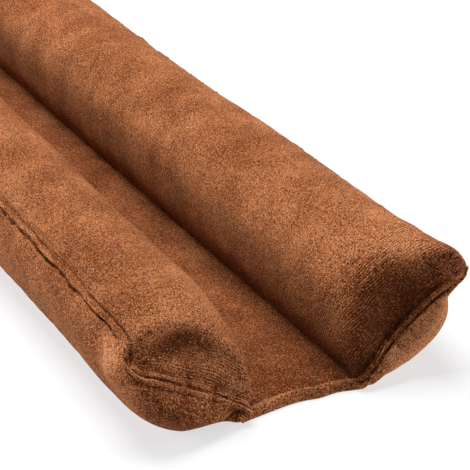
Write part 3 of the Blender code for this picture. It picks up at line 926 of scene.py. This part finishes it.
def run_cloth(mesh, held):
    """Where the points of a mesh go when its cloth is stuffed and held at some points."""
    piece = bpy.data.objects.new(mesh.name, mesh)
    bpy.context.scene.collection.objects.link(piece)
    group = piece.vertex_groups.new(name="held")
    group.add([int(number) for number in np.flatnonzero(held)], 1.0, "REPLACE")
    cloth = piece.modifiers.new("stuffing", "CLOTH")
    cloth.settings.quality = 6
    cloth.settings.mass = STUFF_MASS
    cloth.settings.tension_stiffness = 20.0
    cloth.settings.compression_stiffness = 20.0
    cloth.settings.shear_stiffness = 8.0
    cloth.settings.bending_stiffness = 0.3
    cloth.settings.vertex_group_mass = "held"
    cloth.settings.use_pressure = True
    cloth.settings.uniform_pressure_force = STUFF_PRESSURE
    cloth.settings.shrink_min = -STUFF_SLACK
    cloth.settings.effector_weights.gravity = 0.0
    cloth.collision_settings.use_collision = False
    cloth.point_cache.frame_start = 1
    cloth.point_cache.frame_end = STUFF_FRAMES
    for frame in range(1, STUFF_FRAMES + 1):
        bpy.context.scene.frame_set(frame)
    result = piece.evaluated_get(bpy.context.evaluated_depsgraph_get()).to_mesh()
    places = vertex_places(result)
    bpy.context.scene.frame_set(1)
    bpy.data.objects.remove(piece)
    return places


def stuffed(top, under):
    """Both panels after a cloth simulation on a coarser net of the same points."""
    middle = top.shape[1] // 2
    along = run_over(top, 0)[:, middle]
    across = run_over(top, 1)[len(along) // 2]

    def gap(s):
        ends = np.minimum(s, along[-1] - s)
        return STUFF_GAP - (STUFF_GAP - STUFF_END_GAP) * fade(ends, 0.05)

    rows = picked(along, gap)
    columns = picked(across, lambda s: STUFF_END_GAP + 0.0 * s)
    net = [grid[np.ix_(rows, columns)] for grid in (top, under)]
    ring = joined(*net)
    held = np.zeros(ring.shape[:2], dtype=bool)
    held[[0, -1]] = True
    held[:, [0, len(columns) - 1, -1]] = True
    held |= ring[..., 2] < STUFF_FLOOR
    mesh, used = ring_mesh("stuffing", net[0] * STUFF_SCALE, net[1] * STUFF_SCALE, 1)
    held = held.ravel()[used]
    start = vertex_places(mesh)
    slimmer = start - vertex_normals(mesh) * (STUFF_SLIMMER * STUFF_SCALE * ~held)[:, None]
    mesh.vertices.foreach_set("co", slimmer.ravel())
    moved = (run_cloth(mesh, held) - start) / STUFF_SCALE
    size = np.linalg.norm(moved, axis=1, keepdims=True)
    moved *= np.minimum(1.0, STUFF_CAP / np.maximum(size, 1e-9))
    field = np.zeros((ring.shape[0] * ring.shape[1], 3))
    field[used] = moved
    field = field.reshape(ring.shape)
    fields = (field[:, :len(columns)], field[:, :len(columns) - 2:-1])
    panels = []
    for grid, part in zip((top, under), fields):
        part = read_between(part, along[rows], along)
        part = read_between(part.transpose(1, 0, 2), across[columns], across).transpose(1, 0, 2)
        free = np.clip((grid[..., 2:] - STUFF_FLOOR) / 0.006, 0.0, 1.0)
        near_end = fade(np.minimum(along, along[-1] - along), STUFF_CALM)
        kept = STUFF_SHARE * (1.0 - 0.8 * near_end[:, None, None])
        panels.append(grid + part * free * kept)
    return panels


def panel_looks(roll, panel, grid, share):
    """A panel's relief, its painted light and shade, and the places and strengths of its lines of
    crushed pile.
    """
    seed = 5.0 * roll.side
    table = END_SEAMS[roll.name]
    relief = end_seam_relief(grid, share, panel, table, seed)
    relief += end_seam_relief(grid[::-1], share, panel, table, seed + 20.0)[::-1]
    relief += long_seam_relief(grid, panel, seed + 40.0, LINE_SHARES[roll.name])
    # Painted shade in the seams' grooves and painted light on their raised edges
    tone = RELIEF_PAINTED_SHADE * np.clip(relief, -DEEPEST_PAINTED_SHADE, HIGHEST_PAINTED_LIGHT)
    inner = 1.0 - fade(1.0 - share, END_PAINTED_LIGHT_FADE)
    # Painted light and shade beside the end seams
    tone += inner * read_profile(END_PAINTED_LIGHTS[roll.name], panel, run_over(grid, 0))
    place, strength = crushed_lines(grid, share, panel, CRUSHED_REACHES[roll.name])
    return relief, tone, place, strength


def make_roll(roll, material):
    """One stuffed roll with its creases and seams."""
    (top, under), share = roll_grids(roll)
    top, under = stuffed(top, under)
    sides = [placed(grid, roll.side) for grid in (top, under)]
    mesh, used = ring_mesh(roll.name + "_plush", *sides, roll.side)
    looks = zip(panel_looks(roll, "top", top, share), panel_looks(roll, "under", under, share))
    relief, painted_light_shade, line_place, line_strength = [joined(*pair).ravel()[used] for pair in looks]
    ring = joined(top, under).reshape(-1, 3)[used]
    mirrored = ring * (1.0, -1.0, 1.0) + (0.0, LENGTH, 0.0)
    creases = CREASES[roll.name, "front"]
    relief += crease_relief(ring, creases)
    relief += crease_relief(mirrored, CREASES[roll.name, "back"])
    # Soft spots of painted light and painted shade on both ends
    painted_light_shade += painted_light_spots(ring, PAINTED_LIGHTS[roll.name, "front"]) + painted_light_spots(mirrored, PAINTED_LIGHTS[roll.name, "back"])
    # Painted shade in the hollows of the narrow creases and painted light on their ridges
    painted_creases = [crease for crease in creases if crease.width < PAINTED_CREASE_WIDTH]
    painted_light_shade += RELIEF_PAINTED_SHADE * crease_relief(ring, painted_creases)
    places = vertex_places(mesh)
    relief += lumps(places, LUMP_SIZE, LUMP_HEIGHT)
    set_places(mesh, places + vertex_normals(mesh) * relief[:, None])
    set_attribute(mesh, "line_place", line_place)
    set_attribute(mesh, "line_strength", line_strength)
    set_attribute(mesh, "painted_light_shade", painted_light_shade)
    return new_object(roll.name + "_plush", mesh, material)


# Web

WEB_COLUMNS = 120
WEB_FINE = 0.0025         # gaps between rows of points along the near part
WEB_COARSE = 0.0080
WEB_START = 0.030         # where the sewn ends give way to the plain web
WEB_NEAR = 0.22           # beyond which the rows of points lie further apart
WEB_NEAR_FADE = 0.10
RIM_TUCK = 0.0020         # how far a sewn end reaches in under the rolls' corners
RIM_TUCK_REACH = 0.0030
RIB_PITCH = 0.0013        # the gathered ribs across a sewn end
RIB_HEIGHT = 0.00022
WEB_LUMP_HEIGHT = 0.0005
WEB_LUMP_WIDTH = 0.011
WEB_LUMP_LENGTH = 0.016
STITCH_GATHER_PERIOD = 0.0075
STITCH_GATHER_HEIGHT = 0.0004
STITCH_GATHER_REACH = 0.0060
RIB_PAINTED_SHADE = 80.0           # painted light on the ribs' crests and painted shade between them, per metre of a rib's height
WebPaintedLight = namedtuple("WebPaintedLight", "inward tone")
WEB_PAINTED_LIGHT = (
    # Painted light on the rim, painted shade in the groove behind it, then fainter painted shade over
    # the rest of the web
    WebPaintedLight(0.0000, 0.000), WebPaintedLight(0.0010, 0.030), WebPaintedLight(0.0028, 0.034), WebPaintedLight(0.0038, -0.025),
    WebPaintedLight(0.0050, -0.070), WebPaintedLight(0.0075, -0.058), WebPaintedLight(0.0200, -0.045), WebPaintedLight(0.1000, -0.028),
)


def web_line(across, y, height, tuck=0.0):
    """One line of points across the web's upper face, with its ends under the rolls' corners."""
    proud = max(height - WEB_THICK, 0.0) * (1.0 - across**RIM_FADE_POWER)
    up = min(height, WEB_THICK) + proud
    return np.column_stack([WEB_X + across * (WEB_WIDTH / 2.0 + tuck), FRONT_Y + y, up])


def rib_heights(top, inward):
    """Heights of the gathered ribs on the sewn ends."""
    x = top[..., 0] - WEB_X
    uneven = 0.6 + 0.8 * wave(x[0], 0.004, 7.0)
    ribs = np.sin(2.0 * math.pi * (x / RIB_PITCH + 0.7 * wave(x[0], 0.006, 2.0)))
    return RIB_HEIGHT * ribs * uneven * fade(inward[:, None] - 0.0015, 0.0030)


def web_relief(top, inward):
    """Heights of the ribs on the sewn ends, the gathers at the stitching and soft lumps."""
    x = top[..., 0] - WEB_X
    y = top[..., 1]
    relief = rib_heights(top, inward)
    spots = zip((x / WEB_LUMP_WIDTH).ravel(), (y / WEB_LUMP_LENGTH).ravel())
    soft = [noise.noise(Vector((a, b, 3.0))) for a, b in spots]
    relief += WEB_LUMP_HEIGHT * np.minimum(np.array(soft).reshape(x.shape), 0.1)
    for side in (-1.0, 1.0):
        gathers = wave(y[:, WEB_COLUMNS // 2], STITCH_GATHER_PERIOD, 11.0 * side)
        gathers = np.minimum(gathers, 0.1)
        edge = WEB_WIDTH / 2.0 - side * x
        relief += STITCH_GATHER_HEIGHT * gathers[:, None] * fade(edge, STITCH_GATHER_REACH)
    return relief


def make_web(material):
    """The flat web between the rolls, with its rounded sewn ends."""
    across = np.linspace(-1.0, 1.0, WEB_COLUMNS + 1)
    front = smooth_values(FRONT_RIM, across)[:, 0]
    back = LENGTH - smooth_values(BACK_RIM, across)[:, 0]
    rim = through(RIM_SECTION, 5)
    tucks = RIM_TUCK * fade(rim[:, 0], RIM_TUCK_REACH)
    lines = []
    for (inward, height), tuck in zip(rim, tucks):
        lines.append(web_line(across, front + inward, height, tuck))
    plain = LENGTH - 2.0 * WEB_START

    def gap(s):
        far = np.clip((s - WEB_NEAR) / WEB_NEAR_FADE, 0.0, 1.0)
        return WEB_FINE + (WEB_COARSE - WEB_FINE) * far

    stations = WEB_START + spaced(plain, gap)
    for along in stations:
        lines.append(web_line(across, np.full(len(across), along), WEB_THICK))
    for (inward, height), tuck in zip(rim[::-1], tucks[::-1]):
        lines.append(web_line(across, back - inward, height, tuck))
    top = np.array(lines)
    inward = np.concatenate([rim[:, 0], np.minimum(stations, LENGTH - stations), rim[::-1, 0]])
    under = top.copy()
    under[..., 2] = 0.0
    top[1:-1, 1:-1, 2] += web_relief(top, inward)[1:-1, 1:-1]
    rows, columns = top.shape[:2]
    ring = np.concatenate([top, under[:, ::-1]], axis=1)
    width = ring.shape[1]
    index = np.arange(rows * width).reshape(rows, width)
    following = np.roll(index, -1, axis=1)
    quads = np.stack([index[:-1], following[:-1], following[1:], index[1:]], axis=-1).reshape(-1, 4)
    faces = quads.tolist()
    for row, flip in ((0, False), (rows - 1, True)):
        for column in range(columns - 1):
            a, b = index[row, column], index[row, column + 1]
            c, d = index[row, width - 2 - column], index[row, width - 1 - column]
            face = [int(a), int(d), int(c), int(b)]
            faces.append(face[::-1] if flip else face)
    mesh = bpy.data.meshes.new("web_plush")
    mesh.from_pydata(ring.reshape(-1, 3).tolist(), [], faces)
    mesh.update()
    # Painted light on the web's rim, painted shade in the groove behind it and fainter painted shade
    # over the rest
    tone = np.interp(inward, *np.array(WEB_PAINTED_LIGHT).T)[:, None] + np.zeros(columns)
    # Painted light on the ribs' crests and painted shade between them
    tone += RIB_PAINTED_SHADE * rib_heights(top, inward)
    set_attribute(mesh, "painted_light_shade", np.hstack([tone, tone[:, ::-1]]).ravel())
    return new_object("web_plush", mesh, material)


# Floor, light and camera

CAMERA_FROM_FRONT = Vector((-0.275, -0.466, 0.337))   # from the web's middle at the front plane
CAMERA_PITCH = 26.0       # degrees down from level
CAMERA_YAW = 27.6         # degrees from the rolls' own direction towards +X
CAMERA_LENS = 128.8       # mm, on a sensor 36 mm wide

Lamp = namedtuple("Lamp", "name place aim size power")
LAMPS = (
    Lamp("overhead", (0.0, 0.35, 1.65), (0.0, -0.30, 0.0), 1.3, 52.0),
    Lamp("left", (-1.35, 0.20, 0.62), (0.0, -0.35, 0.0), 0.8, 15.0),
    Lamp("right", (1.50, -0.75, 0.28), (0.0, -0.35, 0.0), 0.8, 26.0),
)
WORLD_STRENGTH = 0.04
FLOOR_GLOW = 0.66


def make_floor():
    """A plain pale floor, lit from below like a light table."""
    mesh = bpy.data.meshes.new("floor")
    half = 6.0
    corners = [(-half, -half, 0), (half, -half, 0), (half, half, 0), (-half, half, 0)]
    mesh.from_pydata(corners, [], [(0, 1, 2, 3)])
    material = bpy.data.materials.new("floor")
    material.use_nodes = True
    shader = material.node_tree.nodes["Principled BSDF"]
    shader.inputs["Base Color"].default_value = (0.28, 0.28, 0.29, 1.0)
    shader.inputs["Emission Color"].default_value = (0.99, 0.99, 1.0, 1.0)
    shader.inputs["Emission Strength"].default_value = FLOOR_GLOW
    shader.inputs["Roughness"].default_value = 0.7
    shader.inputs["Specular IOR Level"].default_value = 0.2
    floor = new_object("floor", mesh, material)


def make_light(lamp):
    """A square area light."""
    data = bpy.data.lights.new(lamp.name, "AREA")
    data.size = lamp.size
    data.energy = lamp.power
    light = bpy.data.objects.new(lamp.name, data)
    light.location = lamp.place
    light.rotation_euler = (Vector(lamp.aim) - Vector(lamp.place)).to_track_quat("-Z", "Y").to_euler()
    bpy.context.scene.collection.objects.link(light)


def make_camera():
    """A camera at the photograph's viewing angle."""
    data = bpy.data.cameras.new("camera")
    data.lens = CAMERA_LENS
    data.clip_start = 0.01
    camera = bpy.data.objects.new("camera", data)
    camera.location = CAMERA_FROM_FRONT + Vector((WEB_X, FRONT_Y, 0.0))
    camera.rotation_euler = Euler((math.radians(90.0 - CAMERA_PITCH), 0.0, -math.radians(CAMERA_YAW)))
    bpy.context.scene.collection.objects.link(camera)
    bpy.context.scene.camera = camera


def make_world():
    """A soft white surround."""
    world = bpy.data.worlds.new("world")
    world.use_nodes = True
    background = world.node_tree.nodes["Background"]
    background.inputs["Color"].default_value = (1.0, 1.0, 1.0, 1.0)
    background.inputs["Strength"].default_value = WORLD_STRENGTH
    bpy.context.scene.world = world
    bpy.context.scene.view_settings.view_transform = "Standard"


plush = plush_material()
for roll in ROLLS:
    piece = make_roll(roll, plush)
    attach(piece, "root")
    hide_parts(roll.name)
web = make_web(plush)
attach(web, "root")
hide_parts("web")

make_floor()
for lamp in LAMPS:
    make_light(lamp)
make_world()
make_camera()
